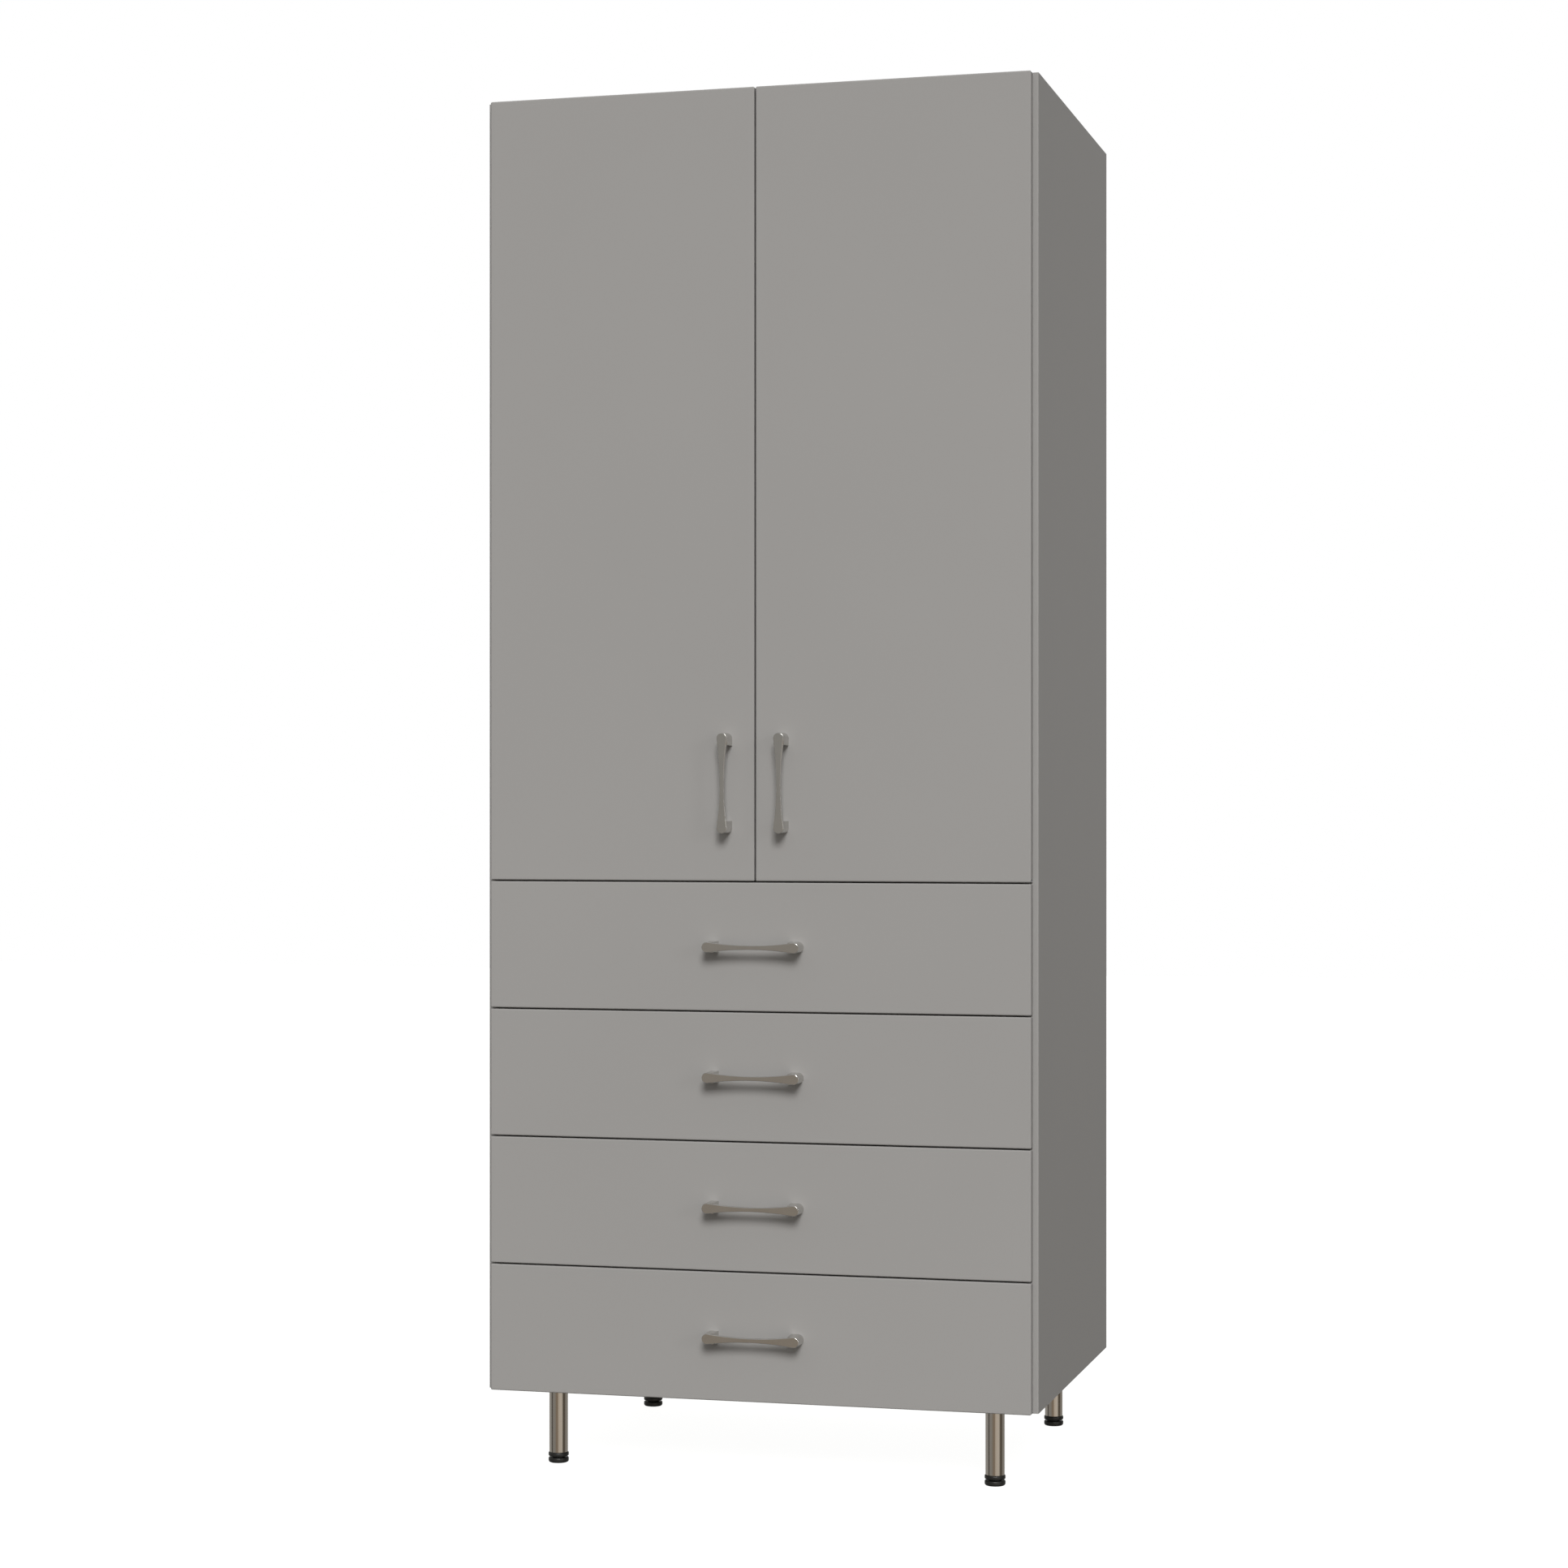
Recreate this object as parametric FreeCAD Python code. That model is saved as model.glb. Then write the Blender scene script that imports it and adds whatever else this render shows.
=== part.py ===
# Sheet-steel storage cabinet: two doors over four drawers, on four round legs.
#
# Millimetres. +Z is up, the fronts face -Y, and X runs to the right of someone facing them.
# The origin is on the floor, in the middle of the width and of the whole depth, handles included.

import FreeCAD, Part
import math
import os
from FreeCAD import Vector

# ---- Body ----
body_width = 800.0
body_depth = 580.0
body_height = 1844.0
sheet = 1.0
bend = 1.5               # outer radius of a fold in the body
front_flange = 25.0      # width of the flanges round the front openings
lip = 12.0               # how far those flanges turn back into the body
edge_flange = 15.0       # side and rear flanges of the sheets
touch = 0.1              # play where one piece fits inside another
anchor_hole = 8.0        # wall-fixing holes in the back panel
anchor_spacing = 600.0
anchor_drop = 60.0       # below the top of the body
rail_height = 16.0       # cross rails behind the gaps between drawers
rail_depth = 18.0

# ---- Fronts ----
drawer_count = 4
drawer_front_height = 180.6
front_thickness = 15.0
front_standoff = 1.0     # body's front plane to the back of the fronts
front_gap = 2.0          # between neighbouring fronts
reveal = 7.5             # body flange left showing beside the fronts
front_radius = 2.0       # outer radius of the folds in a front
rim = 16.0               # return flange round the back of a front
liner = 0.8
liner_overlap = 6.0      # liner under the return flange

# ---- Door pivots ----
pivot_edge = 4.5         # pivot axis to the hinge edge of the door
pivot_pin = 4.0
pivot_bore = 4.1
pin_reach = 9.0          # pin beyond its bracket
tongue = 2.5             # bracket thickness
tongue_width = 8.0
tongue_gap = 0.5         # tongue to the door's pivot block or edge
bracket_width = 20.0
bracket_length = 30.0
block_height = 25.0
bore_depth = 11.0
thrust_collar = 0.7      # thickness of the bearing collar on the lower pins
thrust_diameter = 7.0
notch_clear = 1.0        # corner notch of the door to the tongue's inner edge
notch_skin = 1.2         # what the notch leaves of the door's front skin

# ---- Handles ----
handle_length = 140.4
handle_end_width = 14.8
handle_waist = 6.0
handle_stand = 27.0      # front of the handle to the front it is screwed to
handle_pitch = 128.0     # between its screws
strap_thickness = 5.0
strap_edge = 0.8         # rounding of the strap's front edge
post_length = 17.0
post_step = 0.2          # post narrower than the strap where they join
post_draft = 0.8         # widening of a post towards its foot, each side
handle_from_edge = 40.0  # door handle's axis to the door's free edge
handle_rise = 137.0      # door handle's middle above the door's lower edge
handle_screw = 3.5
handle_screw_bite = 8.0
screw_play = 0.2         # radial play of a screw in sheet

# ---- Drawers and their slides ----
box_rise = 32.0          # box floor above the lower edge of its front
box_drop = 28.6          # box rim below the upper edge of its front
box_rim = 7.0
slide_thickness = 12.7
slide_height = 45.0
rear_room = 80.0         # depth of the body left behind the boxes and slides
slide_sheet = 1.2
slide_rise = 50.0        # slide's middle above the box floor
slide_setback = 2.0      # behind the body's front plane
slide_clear = 1.0        # between the webs and edges of the slide's members
slide_bend = 1.8         # outer radius of its folds
race = 3.0               # height of a ball race
ball = 2.4
ball_line = 7.5          # from the face that the slide is fixed to
ball_count = 6
ball_pitch = 25.0
cage_width = 5.0
cage_sheet = 1.0
slide_upright_width = 30.0
slide_upright_inset = 20.0
opening_clear = 1.0      # slides to the flanges beside the front opening

# ---- Shelves ----
shelf_count = 3
shelf_edge = 25.0
shelf_rim = 12.0
shelf_setback = 20.0     # behind the body's front plane
shelf_back_gap = 6.0
clip_sheet = 1.0
clip_width = 20.0
clip_height = 28.0
clip_tab = 16.0          # reach of the clip's tab under the shelf
clip_tab_thickness = 2.0
clip_drop = 6.0          # from the middle of a slot down to the tab's upper face
slot_pitch = 25.0
slot_first = 20.0        # lowest slot above the cupboard floor
slot_width = 10.0
slot_height = 3.0
slot_play = 0.2
shelf_upright_width = 24.0
shelf_upright_depth = 8.0
shelf_upright_inset = 60.0

# ---- Legs ----
leg_height = 118.0       # floor to the underside of the body
leg_diameter = 27.0
leg_wall = 1.5
leg_from_side = 77.0
leg_from_front = 82.0
leg_from_back = 32.0
leg_plate_margin = 8.0   # plate beyond the axes of its screws
leg_plate_thickness = 3.0
leg_screw = 5.0
leg_screw_spacing = 42.0
leg_screw_length = 8.0
foot_proud = 1.25        # foot and collar beyond the tube, all round
foot_height = 7.4
foot_chamfer = 2.5       # chamfer under the foot, so that it stands on a flat disc
foot_groove = 1.6        # between the foot and the collar of the leg's end plug
foot_neck = 18.0
neck_gap = 0.3           # neck to the collar
ring_edge = 1.8          # rounding of the two rings at the groove
collar_height = 6.0
plug_spigot = 20.0
stem = 8.0
stem_bore = 8.16
stem_reach = 38.0        # stem above the foot's ring

# ---- Small fittings ----
bumper_diameter = 8.0
bumper_thickness = 0.7
door_bumper_from_centre = 60.0
catch_length = 60.0
catch_section = 14.0
catch_edge = 1.0         # rounding of its edges
catch_proud = 0.5        # in front of the body's front plane

# ---- Levels and planes that follow from the sizes above ----
inner_bend = bend - sheet
half_body = body_width / 2
wall_inside = half_body - sheet
opening_half = half_body - front_flange
half_fronts = half_body - reveal
y_back = (body_depth + front_standoff + front_thickness + handle_stand) / 2
y_body = y_back - body_depth
y_behind = y_body - front_standoff          # back of the doors and drawer fronts
y_front = y_behind - front_thickness        # their faces
y_liner = y_behind - sheet                  # liner's back face, inside the return flange
y_inside_back = y_back - 2 * sheet          # face of the back panel
z_bottom = leg_height
z_top = leg_height + body_height
drawer_pitch = drawer_front_height + front_gap
box_height = drawer_front_height - box_rise - box_drop
box_length = slide_length = body_depth - rear_room
door_low = z_bottom + drawer_count * drawer_pitch
pivot_notch = sheet + tongue + tongue_gap
notch_width = pivot_edge + tongue_width / 2 + notch_clear
floor_level = door_low + pivot_notch        # top of the cupboard floor
pivot_x = half_fronts - pivot_edge
pivot_y = y_behind - front_thickness / 2
upright_face = opening_half - opening_clear     # slides are fixed to this plane
box_half = upright_face - slide_thickness
slide_start = y_body + slide_setback
shelf_upright_face = wall_inside - sheet - shelf_upright_depth
leg_plate = leg_screw_spacing + 2 * leg_plate_margin
foot_diameter = leg_diameter + 2 * foot_proud


# ---- Making shapes ----

def box(bounds):
    """Block from ((x0, x1), (y0, y1), (z0, z1))."""
    (x0, x1), (y0, y1), (z0, z1) = bounds
    return Part.makeBox(x1 - x0, y1 - y0, z1 - z0, Vector(x0, y0, z0))


def rounded_box(bounds, radius):
    block = box(bounds)
    return block.makeFillet(radius, block.Edges)


def mirrored(shape):
    """The same piece on the other side of the cabinet."""
    return shape.mirror(Vector(0, 0, 0), Vector(1, 0, 0))


def both_sides(shapes):
    return list(shapes) + [mirrored(shape) for shape in shapes]


def edges_in_plane(shape, axis, level):
    """Edges that lie wholly in the plane where the given coordinate has the given value."""
    found = []
    for edge in shape.Edges:
        size = edge.BoundBox
        spans = ((size.XMin, size.XMax), (size.YMin, size.YMax), (size.ZMin, size.ZMax))
        if max(abs(value - level) for value in spans[axis]) < 0.001:
            found.append(edge)
    return found


def upright_edges(shape):
    """Its straight edges along Z."""
    return [edge for edge in shape.Edges if edge.BoundBox.XLength + edge.BoundBox.YLength < 0.001]


def point(plane, u, v, w):
    """Point with u and v in a plane, and w along its normal."""
    return {"xy": Vector(u, v, w), "xz": Vector(u, w, v), "yz": Vector(w, u, v)}[plane]


def prism(corners, plane, low, high):
    """Extrusion of a closed outline of (u, v, radius) corners, each rounded by its radius."""
    edges = []
    ends = []
    count = len(corners)
    spots = [Vector(u, v, 0) for u, v, _ in corners]
    for index, (_, _, radius) in enumerate(corners):
        here = spots[index]
        if radius <= 0:
            ends.append((here, here, None))
            continue
        back = (spots[index - 1] - here).normalize()
        ahead = (spots[(index + 1) % count] - here).normalize()
        inward = (back + ahead).normalize()
        half_angle = back.getAngle(ahead) / 2
        along = radius / math.tan(half_angle)
        middle = here + inward * (radius / math.sin(half_angle) - radius)
        ends.append((here + back * along, here + ahead * along, middle))
    for index, (first, last, middle) in enumerate(ends):
        if middle is not None:
            arc = [point(plane, spot.x, spot.y, low) for spot in (first, middle, last)]
            edges.append(Part.Arc(*arc).toShape())
        start, stop = last, ends[(index + 1) % count][0]
        if start.distanceToPoint(stop) > 0.001:
            line = [point(plane, spot.x, spot.y, low) for spot in (start, stop)]
            edges.append(Part.LineSegment(*line).toShape())
    return Part.Face(Part.Wire(edges)).extrude(point(plane, 0, 0, high - low))


def folded(line, side, plane, low, high, thickness=sheet, radius=bend):
    """Sheet folded square along a line of (u, v) points on one of its faces.

    side +1 puts the thickness to the left of the line, -1 to the right.
    """
    spots = [Vector(u, v, 0) for u, v in line]
    ways = [(after - before).normalize() for before, after in zip(spots, spots[1:])]
    normals = [Vector(-way.y, way.x, 0) * side for way in ways]
    near = [(spots[0].x, spots[0].y, 0)]
    far = [(spots[0] + normals[0] * thickness, 0)]
    for index in range(1, len(spots) - 1):
        turns_in = ways[index].dot(normals[index - 1]) > 0
        near.append((spots[index].x, spots[index].y, radius if turns_in else radius - thickness))
        corner = spots[index] + (normals[index - 1] + normals[index]) * thickness
        far.append((corner, radius - thickness if turns_in else radius))
    near.append((spots[-1].x, spots[-1].y, 0))
    far.append((spots[-1] + normals[-1] * thickness, 0))
    return prism(near + [(spot.x, spot.y, bent) for spot, bent in reversed(far)], plane, low, high)


def pan(bounds, radius, axis, opens, rim_width):
    """Folded tray, open on one side but for a rim that is turned in round its mouth.

    axis is the mouth's axis, and opens is +1 or -1, the way that it faces.
    """
    inner = [(low + sheet, high - sheet) for low, high in bounds]
    window = [(low + rim_width, high - rim_width) for low, high in bounds]
    middle = sum(bounds[axis]) / 2
    outside = bounds[axis][1] + sheet if opens > 0 else bounds[axis][0] - sheet
    window[axis] = tuple(sorted((middle, outside)))
    shell = rounded_box(bounds, radius).cut(rounded_box(inner, radius - sheet))
    return shell.cut(box(window))


def hole_y(x, z, diameter, y0=y_front - 1, y1=y_body):
    """Cutter for a hole through a front, along Y."""
    return Part.makeCylinder(diameter / 2, y1 - y0, Vector(x, y0, z), Vector(0, 1, 0))


def screw(shank, length):
    """Button-head screw with a hexagon socket; its seat is at z = 0 and its shank points down."""
    head_height = 0.6 * shank
    head = Part.makeCylinder(shank, head_height)
    head = head.makeFillet(head_height / 2, edges_in_plane(head, 2, head_height))
    first = Vector(0.36 * shank, 0, 0.4 * head_height)
    corners = [FreeCAD.Rotation(Vector(0, 0, 1), 60 * step).multVec(first) for step in range(6)]
    socket = Part.Face(Part.makePolygon(corners + [first])).extrude(Vector(0, 0, head_height))
    return head.cut(socket).fuse(Part.makeCylinder(shank / 2, length, Vector(0, 0, -length)))


def save(name, shapes):
    """One STEP file for a sub-part; several loose pieces of one kind share it."""
    shapes = shapes if isinstance(shapes, list) else [shapes]
    whole = shapes[0] if len(shapes) == 1 else Part.makeCompound(shapes)
    whole.exportStep("parts/" + name + ".step")


# ---- Body sheets ----

def body_sheet(z, turn, start_y, end_y):
    """Horizontal sheet of the body; turn is the way that its flanges are folded.

    Its front flange and lip fill the opening between the side panels, and from start_y on it
    reaches the side panels' walls.
    """
    flange_tip = z + turn * front_flange
    line = [(y_body + lip, flange_tip), (y_body, flange_tip), (y_body, z), (end_y, z)]
    line.append((end_y, z + turn * edge_flange))
    middle = folded(line, turn, "yz", -opening_half, opening_half)
    layer = tuple(sorted((z, z + turn * sheet)))
    wing = box(((opening_half, wall_inside), (start_y, end_y), layer))
    flange_start = y_body + lip + sheet
    flange_layer = tuple(sorted((z, z + turn * edge_flange)))
    flange = box(((wall_inside - sheet, wall_inside), (flange_start, y_inside_back), flange_layer))
    return middle.fuse(both_sides([wing, flange])).removeSplitter()


def leg_places():
    """Name and axis of each leg."""
    places = {}
    for side, x in (("left", -half_body + leg_from_side), ("right", half_body - leg_from_side)):
        places["front_" + side] = (x, y_body + leg_from_front)
        places["rear_" + side] = (x, y_back - leg_from_back)
    return places


def leg_screw_places(x, y):
    half = leg_screw_spacing / 2
    return [(x + dx, y + dy) for dx in (-half, half) for dy in (-half, half)]


def tongue_levels():
    """Underside of each pivot tongue: the lower pair, then the upper pair."""
    return (floor_level - sheet - tongue, z_top - sheet - tongue)


def side_panel():
    """Right side panel: wall, front flange with its lip, and rear flange."""
    line = [(half_body - edge_flange, y_back), (half_body, y_back), (half_body, y_body)]
    line += [(opening_half, y_body), (opening_half, y_body + lip)]
    panel = folded(line, -1, "xy", z_bottom, z_top)
    for z in (z_bottom, z_top - sheet):
        panel = panel.cut(box(((0, wall_inside), (y_body - 1, y_back + 1), (z, z + sheet))))
    slot_half = tongue_width / 2 + touch
    for z in tongue_levels():
        slot = ((pivot_x - slot_half, pivot_x + slot_half), (y_body - 1, y_body + 2))
        panel = panel.cut(box(slot + ((z - touch, z + tongue + touch),)))
    return panel


def back_panel():
    half = wall_inside - inner_bend
    tall = (z_bottom + sheet + inner_bend, z_top - sheet - inner_bend)
    panel = box(((-half, half), (y_inside_back, y_back - sheet), tall))
    for x in (-anchor_spacing / 2, anchor_spacing / 2):
        panel = panel.cut(hole_y(x, z_top - anchor_drop, anchor_hole, 0, y_back))
    return panel


def bottom_panel():
    panel = body_sheet(z_bottom, 1, y_body, y_back)
    across = leg_screw + 2 * screw_play
    for x, y in leg_places().values():
        for hole_x, hole_row in leg_screw_places(x, y):
            hole = Part.makeCylinder(across / 2, 3 * sheet, Vector(hole_x, hole_row, z_bottom - sheet))
            panel = panel.cut(hole)
    return panel


def drawer_rails():
    rails = []
    for number in range(1, drawer_count):
        z = z_bottom + number * drawer_pitch - front_gap / 2
        low, high = z - rail_height / 2, z + rail_height / 2
        line = [(y_body + rail_depth, low), (y_body, low), (y_body, high), (y_body + rail_depth, high)]
        rails.append(folded(line, -1, "yz", -opening_half, opening_half))
    return rails


# ---- Legs ----

def leg_pieces():
    """Tubes, plates, end plugs and screws of all four legs."""
    tubes, plates, plugs, screws = [], [], [], []
    plate_low = z_bottom - leg_plate_thickness
    collar_low = foot_height + foot_groove
    collar_top = collar_low + collar_height
    for x, y in leg_places().values():
        tube = Part.makeCylinder(leg_diameter / 2, plate_low - collar_top, Vector(x, y, collar_top))
        bore = leg_diameter / 2 - leg_wall
        tubes.append(tube.cut(Part.makeCylinder(bore, leg_height, Vector(x, y, 0))))

        half = leg_plate / 2
        plate = box(((x - half, x + half), (y - half, y + half), (plate_low, z_bottom)))
        plate = plate.makeFillet(leg_plate_thickness, upright_edges(plate))
        for hole_x, hole_row in leg_screw_places(x, y):
            across = leg_screw + 2 * screw_play
            plate = plate.cut(Part.makeCylinder(across / 2, leg_height, Vector(hole_x, hole_row, 0)))
            fastener = screw(leg_screw, leg_screw_length)
            fastener.rotate(Vector(0, 0, 0), Vector(1, 0, 0), 180)
            fastener.translate(Vector(hole_x, hole_row, plate_low))
            screws.append(fastener)
        plates.append(plate)

        collar = Part.makeCylinder(foot_diameter / 2, collar_height, Vector(x, y, collar_low))
        rims = edges_in_plane(collar, 2, collar_low) + edges_in_plane(collar, 2, collar_top)
        collar = collar.makeFillet(ring_edge, rims)
        root = Vector(x, y, collar_top - ring_edge)
        plug = collar.fuse(Part.makeCylinder(bore - touch, plug_spigot + ring_edge, root))
        plugs.append(plug.cut(Part.makeCylinder(stem_bore / 2, leg_height, Vector(x, y, 0))))
    return tubes, plates, plugs, screws


def foot(x, y):
    """Levelling foot, screwed right in: ring, neck and stem."""
    ring = Part.makeCylinder(foot_diameter / 2, foot_height, Vector(x, y, 0))
    ring = ring.makeChamfer(foot_chamfer, edges_in_plane(ring, 2, 0))
    ring = ring.makeFillet(ring_edge, edges_in_plane(ring, 2, foot_height))
    root = Vector(x, y, foot_height - ring_edge)
    neck = Part.makeCylinder(foot_neck / 2, ring_edge + foot_groove - neck_gap, root)
    stud = Part.makeCylinder(stem / 2, stem_reach, Vector(x, y, foot_height))
    return ring.fuse([neck, stud])


# ---- Cupboard fittings ----

def shelf_levels():
    """Height of the slot that carries each shelf's clips, from the bottom up."""
    bay = (z_top - sheet - floor_level) / (shelf_count + 1)
    levels = []
    for number in range(1, shelf_count + 1):
        step = int((bay * number - shelf_edge - slot_first / 2) / slot_pitch)
        levels.append(floor_level + slot_first + step * slot_pitch)
    return levels


def shelf(slot_level):
    low = slot_level - clip_drop
    half = shelf_upright_face - clip_sheet
    depth = (y_body + shelf_setback, y_inside_back - shelf_back_gap)
    return pan(((-half, half), depth, (low, low + shelf_edge)), bend, 2, -1, shelf_rim)


def shelf_upright_places():
    return (y_body + shelf_upright_inset, y_inside_back - shelf_upright_inset)


def shelf_uprights():
    """Slotted channels that the shelf clips hook into."""
    uprights = []
    tall = (floor_level, z_top - sheet)
    slots = int((tall[1] - tall[0] - 2 * slot_first) / slot_pitch) + 1
    for y in shelf_upright_places():
        low, high = y - shelf_upright_width / 2, y + shelf_upright_width / 2
        outer = wall_inside - sheet
        line = [(outer, low), (shelf_upright_face, low), (shelf_upright_face, high), (outer, high)]
        channel = folded(line, -1, "xy", *tall)
        cutters = []
        for step in range(slots):
            z = floor_level + slot_first + step * slot_pitch
            across = (y - slot_width / 2, y + slot_width / 2)
            through = (shelf_upright_face - 1, shelf_upright_face + 2 * sheet)
            cutters.append(box((through, across, (z - slot_height / 2, z + slot_height / 2))))
        uprights.append(channel.cut(Part.makeCompound(cutters)))
    return both_sides(uprights)


def shelf_clips():
    clips = []
    for slot_level in shelf_levels():
        seat = slot_level - clip_drop
        hook_tall = (slot_level - slot_height / 2 + slot_play, slot_level + slot_height / 2 - slot_play)
        for y in shelf_upright_places():
            across = (y - clip_width / 2, y + clip_width / 2)
            face = (shelf_upright_face - clip_sheet, shelf_upright_face)
            foot_level = seat - clip_tab_thickness
            plate = box((face, across, (foot_level, foot_level + clip_height)))
            reach = (shelf_upright_face - clip_tab, shelf_upright_face)
            tab = box((reach, across, (foot_level, seat)))
            through = (shelf_upright_face - clip_sheet, shelf_upright_face + 3 * sheet)
            hook_wide = (y - slot_width / 2 + slot_play, y + slot_width / 2 - slot_play)
            clips.append(plate.fuse([tab, box((through, hook_wide, hook_tall))]))
    return both_sides(clips)


def pivot_bracket(z):
    """Plate welded under a body sheet, with a round-ended tongue that carries a door's pin."""
    half = tongue_width / 2
    plate_x = wall_inside - sheet - touch
    plate_y = y_body + lip + 2 * sheet
    plate = box(((plate_x - bracket_width, plate_x), (plate_y, plate_y + bracket_length), (z, z + tongue)))
    arm = box(((pivot_x - half, pivot_x + half), (pivot_y, plate_y + half), (z, z + tongue)))
    end = Part.makeCylinder(half, tongue, Vector(pivot_x, pivot_y, z))
    hole = Part.makeCylinder(pivot_pin / 2, 3 * tongue, Vector(pivot_x, pivot_y, z - tongue))
    return plate.fuse([arm, end]).removeSplitter().cut(hole)


def pivot_pins():
    lower, upper = tongue_levels()
    length = tongue + pin_reach
    foot_pin = Part.makeCylinder(pivot_pin / 2, length, Vector(pivot_x, pivot_y, lower))
    seat = Vector(pivot_x, pivot_y, lower + tongue)
    foot_pin = foot_pin.fuse(Part.makeCylinder(thrust_diameter / 2, thrust_collar, seat))
    head_pin = Part.makeCylinder(pivot_pin / 2, length, Vector(pivot_x, pivot_y, upper - pin_reach))
    return both_sides([foot_pin, head_pin])


def bumpers():
    places = [(door_bumper_from_centre, z_top - front_flange / 2)]
    for number in range(drawer_count):
        middle = z_bottom + number * drawer_pitch + drawer_front_height / 2
        places.append((half_fronts - rim / 2, middle))
    pads = []
    for x, z in places:
        seat = Vector(x, y_body, z)
        pads.append(Part.makeCylinder(bumper_diameter / 2, bumper_thickness, seat, Vector(0, -1, 0)))
    return both_sides(pads)


def door_catch():
    """Double magnetic catch under the lip of the top panel."""
    high = z_top - front_flange
    half = catch_length / 2
    bounds = ((-half, half), (y_body - catch_proud, y_body - catch_proud + catch_section))
    return rounded_box(bounds + ((high - catch_section, high),), catch_edge)


# ---- Handles ----

def strap():
    """Flat bar with round ends and a narrow waist, along Z, proud of the plane y = 0."""
    end = handle_end_width / 2
    waist = handle_waist / 2
    centre = handle_length / 2 - end
    # radius of the hollow side that meets both round ends without a corner
    hollow = (centre ** 2 + waist ** 2 - end ** 2) / (2 * (end - waist))
    x = end * (waist + hollow) / (hollow + end)
    z = centre * hollow / (hollow + end)
    y = -handle_stand
    turns = [((x, -z), (waist, 0), (x, z)), ((x, z), (0, centre + end), (-x, z))]
    turns += [((-x, z), (-waist, 0), (-x, -z)), ((-x, -z), (0, -centre - end), (x, -z))]
    arcs = [Part.Arc(*[Vector(u, y, w) for u, w in turn]).toShape() for turn in turns]
    bar = Part.Face(Part.Wire(arcs)).extrude(Vector(0, strap_thickness, 0))
    return bar.makeFillet(strap_edge, edges_in_plane(bar, 1, y))


def post():
    """Foot of the handle: round at its outer end, square at the inner, wider at its base."""
    end = handle_end_width / 2
    centre = handle_length / 2 - end
    wires = []
    for y, grow in ((strap_thickness - handle_stand, -post_step), (0.0, post_draft - post_step)):
        half = end + grow
        inner = centre + end - post_length - grow
        right, left = Vector(half, y, centre), Vector(-half, y, centre)
        low_left, low_right = Vector(-half, y, inner), Vector(half, y, inner)
        arc = Part.Arc(right, Vector(0, y, centre + half), left).toShape()
        lines = [Part.LineSegment(left, low_left), Part.LineSegment(low_left, low_right)]
        lines.append(Part.LineSegment(low_right, right))
        wires.append(Part.Wire([arc] + [line.toShape() for line in lines]))
    return Part.makeLoft(wires, True, True)


def handle():
    upper = post()
    lower = upper.mirror(Vector(0, 0, 0), Vector(0, 0, 1))
    whole = strap().fuse([upper, lower])
    depth = handle_screw_bite + handle_screw / 2
    for z in (-handle_pitch / 2, handle_pitch / 2):
        seat = Vector(0, 0, z)
        whole = whole.cut(Part.makeCylinder(handle_screw / 2 + touch, depth, seat, Vector(0, -1, 0)))
    return whole


def handle_screws(seat_y, centres):
    """Screws from behind a front into its handle, with their heads seated at seat_y."""
    fasteners = []
    for x, z in centres:
        fastener = screw(handle_screw, seat_y - y_front + handle_screw_bite)
        fastener.rotate(Vector(0, 0, 0), Vector(1, 0, 0), -90)
        fastener.translate(Vector(x, seat_y, z))
        fasteners.append(fastener)
    return fasteners


# ---- Fronts ----

def front_pieces(x_span, z_span, hole_centres):
    """Skin and liner of a door or a drawer front, with holes for the handle's screws."""
    bounds = (x_span, (y_front, y_behind), z_span)
    skin = pan(bounds, front_radius, 1, 1, rim)
    inset = rim - liner_overlap
    plate = box(((x_span[0] + inset, x_span[1] - inset), (y_liner - liner, y_liner),
                 (z_span[0] + inset, z_span[1] - inset)))
    for x, z in hole_centres:
        cutter = hole_y(x, z, handle_screw + 2 * screw_play)
        skin, plate = skin.cut(cutter), plate.cut(cutter)
    return skin, plate


def door():
    """Right door: skin, liner, handle, screws and pivot blocks."""
    free_edge = front_gap / 2
    handle_x = free_edge + handle_from_edge
    handle_z = door_low + handle_rise
    centres = [(handle_x, handle_z - handle_pitch / 2), (handle_x, handle_z + handle_pitch / 2)]
    skin, plate = front_pieces((free_edge, half_fronts), (door_low, z_top), centres)
    notch = ((half_fronts - notch_width, half_fronts + 1), (y_front + notch_skin, y_behind + 1))
    for low in (door_low - 1, z_top - pivot_notch):
        skin = skin.cut(box(notch + ((low, low + pivot_notch + 1),)))

    pull = handle()
    pull.translate(Vector(handle_x, y_front, handle_z))

    blocks = []
    wide = (half_fronts - rim + liner_overlap + 2 * touch, half_fronts - sheet - touch)
    deep = (y_front + sheet + touch, y_behind - sheet - touch)
    low_block, high_block = door_low + pivot_notch, z_top - pivot_notch - block_height
    for z, mouth, way in ((low_block, low_block, 1), (high_block, z_top - pivot_notch, -1)):
        block = box((wide, deep, (z, z + block_height)))
        block = block.makeFillet(front_radius - sheet, upright_edges(block))
        start = Vector(pivot_x, pivot_y, mouth)
        blocks.append(block.cut(Part.makeCylinder(pivot_bore / 2, bore_depth, start, Vector(0, 0, way))))
    return {"skin": [skin], "liner": [plate], "handle": [pull],
            "handle_screws": handle_screws(y_liner, centres), "pivot_blocks": blocks}


# ---- Drawers ----

def slide_member(web_x, mouth_x, half_height, z, side):
    """Channel of a slide: its web at web_x and its two flanges reaching to mouth_x."""
    line = [(mouth_x, z - half_height), (web_x, z - half_height)]
    line += [(web_x, z + half_height), (mouth_x, z + half_height)]
    return folded(line, side, "xz", slide_start, slide_start + slide_length, slide_sheet, slide_bend)


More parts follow.
